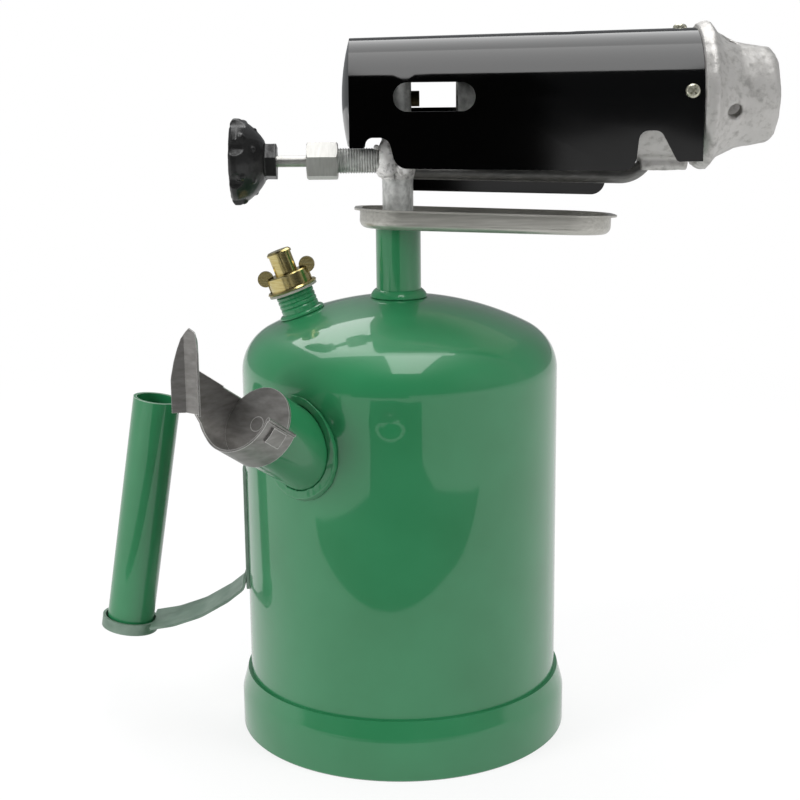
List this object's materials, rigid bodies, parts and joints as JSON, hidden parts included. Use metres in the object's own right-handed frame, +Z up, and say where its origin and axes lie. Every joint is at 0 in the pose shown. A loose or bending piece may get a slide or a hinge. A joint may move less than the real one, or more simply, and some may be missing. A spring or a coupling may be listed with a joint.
{
  "type": "blow lamp",
  "caption": "Petrol blow lamp: domed green tank, hand pump, filler cap, carrying handle, drip tray, needle valve with handwheel and a cast burner under a black hood.",
  "frame": {"origin": "centre of the tank's round foot, on the surface that the lamp stands on", "axes": "+Z up along the tank's axis; +X along the burner towards its mouth; -Y towards the side with the pump"},
  "size_m": [0.292, 0.1668, 0.305],
  "materials": {
    "green_enamel": "glossy green enamel",
    "grey_green_paint": "thin grey-green paint on sheet steel",
    "black_enamel": "glossy black enamel",
    "cast_alloy": "sand cast, dull, slightly rough",
    "braze": "lumpy silver braze",
    "bright_steel": "bright plated steel",
    "dull_steel": "drawn steel, dull",
    "tray_steel": "pressed tinned sheet",
    "brass": "turned brass",
    "bakelite": "moulded black bakelite",
    "rubber": "pale petrol-proof rubber",
    "graphite_packing": "graphited cord",
    "leather": "oiled leather"
  },
  "bodies": {
    "lamp": {"tank_shell": "green_enamel", "tank_bottom": "green_enamel", "base_skirt": "green_enamel", "riser_socket": "green_enamel", "riser_weld": "green_enamel", "fuel_pipe": "dull_steel", "pickup_tube": "dull_steel", "strainer": "brass", "drip_tray": "tray_steel", "valve_body": "dull_steel", "gland_nut": "bright_steel", "valve_packing": "graphite_packing", "packing_washer": "dull_steel", "pipe_braze": "braze", "tube_braze": "braze", "jet_column": "dull_steel", "jet": "brass", "vaporiser_tube": "dull_steel", "return_tube": "dull_steel", "mixing_tube": "dull_steel", "burner_head": "cast_alloy", "shroud": "black_enamel", "shroud_screws": "bright_steel", "filler_neck": "green_enamel", "filler_weld": "green_enamel", "handle_grip": "green_enamel", "handle_bracket": "grey_green_paint", "pump_barrel": "green_enamel", "pump_weld": "green_enamel", "pump_end_guide": "dull_steel", "pump_base": "dull_steel", "check_valve_body": "brass", "check_spring": "bright_steel"},
    "pump_slider": {"pump_handle": "bright_steel", "pump_handle_tab": "bright_steel", "pump_handle_disc": "dull_steel", "pump_rod": "bright_steel", "piston_plate": "dull_steel", "leather_cup": "leather", "piston_washer": "dull_steel", "piston_nut": "bright_steel"},
    "valve_spindle": {"valve_stem": "bright_steel"},
    "valve_wheel": {"handwheel": "bakelite", "handwheel_nut": "bright_steel"},
    "cap_lifter": {"filler_gasket": "rubber"},
    "cap": {"filler_cap": "brass", "relief_housing": "brass", "relief_spring": "bright_steel"},
    "relief_valve": {"relief_ball": "bright_steel"},
    "check_valve": {"check_ball": "bright_steel"}
  },
  "joints": [
    {"name": "pump_stroke", "type": "slide", "parent": "lamp", "child": "pump_slider", "axis": [-0.5104, -0.6773, 0.5299], "range_m": [0, 0.06]},
    {"name": "stem_slide", "type": "slide", "parent": "lamp", "child": "valve_spindle", "axis": [-1, 0, 0], "range_m": [0, 0.0025]},
    {"name": "handwheel_turn", "type": "hinge", "parent": "valve_spindle", "child": "valve_wheel", "pos_m": [-0.06, 0, 0.2488], "axis": [-1, 0, 0], "range_deg": [0, 900.01]},
    {"name": "cap_lift", "type": "slide", "parent": "lamp", "child": "cap_lifter", "axis": [-0.342, 0, 0.9397], "range_m": [0, 0.009]},
    {"name": "cap_turn", "type": "hinge", "parent": "cap_lifter", "child": "cap", "pos_m": [-0.0417, 0, 0.18428], "axis": [-0.342, 0, 0.9397], "range_deg": [0, 2160.01]},
    {"name": "relief_lift", "type": "slide", "parent": "cap", "child": "relief_valve", "axis": [-0.342, 0, 0.9397], "range_m": [0, 0.0012], "stiffness_N_per_m": 40, "springref_m": -0.001, "deforming": ["relief_spring"]},
    {"name": "check_lift", "type": "slide", "parent": "lamp", "child": "check_valve", "axis": [0.5104, 0.6773, -0.5299], "range_m": [0, 0.0012], "stiffness_N_per_m": 20, "springref_m": -0.001, "deforming": ["check_spring"]}
  ],
  "couplings": [
    {"joint": "handwheel_turn", "follows": "stem_slide", "rad_per_m": 6283.2},
    {"joint": "cap_turn", "follows": "cap_lift", "rad_per_m": 4188.8}
  ]
}
